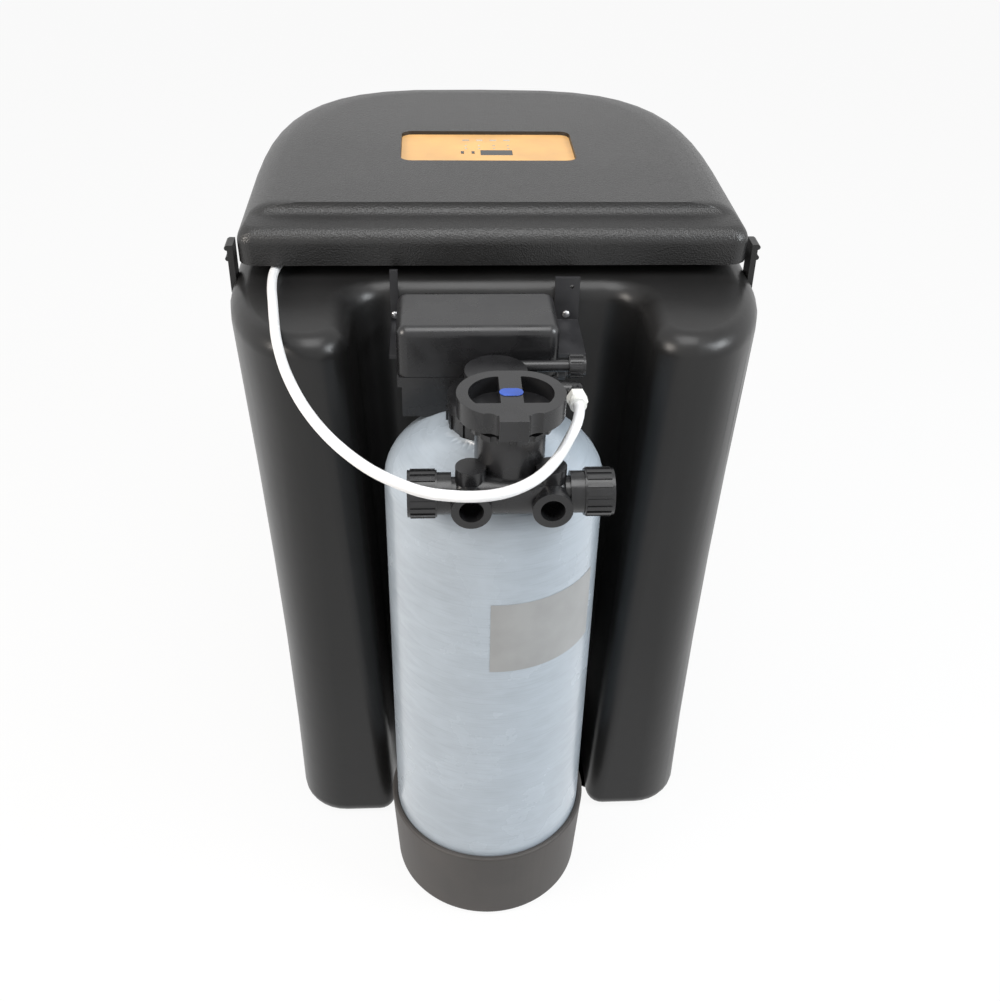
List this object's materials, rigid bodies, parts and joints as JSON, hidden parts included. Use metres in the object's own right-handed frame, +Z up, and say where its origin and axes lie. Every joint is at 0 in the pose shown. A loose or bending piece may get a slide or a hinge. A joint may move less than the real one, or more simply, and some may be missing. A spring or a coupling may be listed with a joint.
{
  "type": "water softener",
  "caption": "Two-part household water softener: hinged-lid brine tank round a wound pressure vessel with a control valve, a rotary bypass and a brine tube.",
  "frame": {"origin": "on the floor, under the middle of the outer box without the brine tube", "axes": "+Z up, -Y to the front where the ports and the handle are, +X to the right seen from the front"},
  "size_m": [0.539, 0.8312, 0.708],
  "materials": {
    "tank_plastic": "satin moulded black, faint vertical flow",
    "lid_plastic": "fine pebble texture, black",
    "hinge_metal": "black powder coat",
    "steel": "plain turned steel",
    "panel_plastic": "black moulding",
    "overlay": "orange film with a matt face",
    "display": "dark window",
    "lamp": "milky lens",
    "board": "green laminate",
    "white_plastic": "natural white",
    "float_plastic": "red foam",
    "vessel_fibre": "wound glass fibre under clear resin",
    "boot_plastic": "dark warm grey, matt",
    "resin_beads": "amber beads",
    "valve_plastic": "black moulding, half gloss",
    "bracket_metal": "black coat",
    "ceramic": "lapped white ceramic",
    "seal_rubber": "black, matt",
    "badge": "blue inlay, plain",
    "tube_plastic": "milky white, half gloss"
  },
  "bodies": {
    "tank_body": {"tank": "tank_plastic", "mouth_rim": "tank_plastic", "tank_hinge_leaf": "hinge_metal", "hinge_pin": "steel", "tank_leaf_screws": "steel", "salt_grid": "white_plastic", "brine_well": "white_plastic", "well_cap": "valve_plastic", "float_rod": "white_plastic", "brine_elbow": "white_plastic", "vessel_boot": "boot_plastic", "vessel_shell": "vessel_fibre", "neck_seal": "seal_rubber", "riser_tube": "white_plastic", "bottom_strainer": "white_plastic", "top_basket": "white_plastic", "resin_bed": "resin_beads", "valve_body": "valve_plastic", "powerhead_cover": "valve_plastic", "drive_motor": "steel", "fixed_disc": "ceramic", "brine_fitting": "valve_plastic", "brine_nut": "white_plastic", "injector_cap": "valve_plastic", "drain_barb": "valve_plastic", "bypass_body": "valve_plastic", "bypass_bonnet": "valve_plastic", "cap_nut_left": "valve_plastic", "cap_nut_right": "valve_plastic", "left_bracket": "bracket_metal", "right_bracket": "bracket_metal", "bracket_screws": "steel", "brine_tube": "tube_plastic"},
    "lid_body": {"lid": "lid_plastic", "lid_hinge_leaf": "hinge_metal", "lid_leaf_screws": "steel", "panel_tray": "panel_plastic", "panel_overlay": "overlay", "display_window": "display", "indicator_lamps": "lamp", "control_board": "board"},
    "handle_body": {"bypass_handle": "valve_plastic", "bypass_rotor": "valve_plastic", "rotor_seals": "seal_rubber", "handle_badge": "badge", "handle_screw": "steel"},
    "float_body": {"brine_float": "float_plastic"},
    "spindle_body": {"valve_spindle": "steel", "moving_disc": "ceramic"}
  },
  "joints": [
    {"name": "lid_hinge", "type": "hinge", "parent": "tank_body", "child": "lid_body", "pos_m": [0, 0.39475, 0.664], "axis": [-1, 0, 0], "range_deg": [0, 100]},
    {"name": "bypass_turn", "type": "hinge", "parent": "tank_body", "child": "handle_body", "pos_m": [0, -0.35075, 0.64], "axis": [0, 0, 1], "range_deg": [0, 90]},
    {"name": "float_rise", "type": "slide", "parent": "tank_body", "child": "float_body", "axis": [0, 0, 1], "range_m": [0, 0.15]},
    {"name": "valve_index", "type": "hinge", "parent": "tank_body", "child": "spindle_body", "pos_m": [-0.067, -0.21475, 0.615], "axis": [0, 0, 1], "continuous": true}
  ]
}
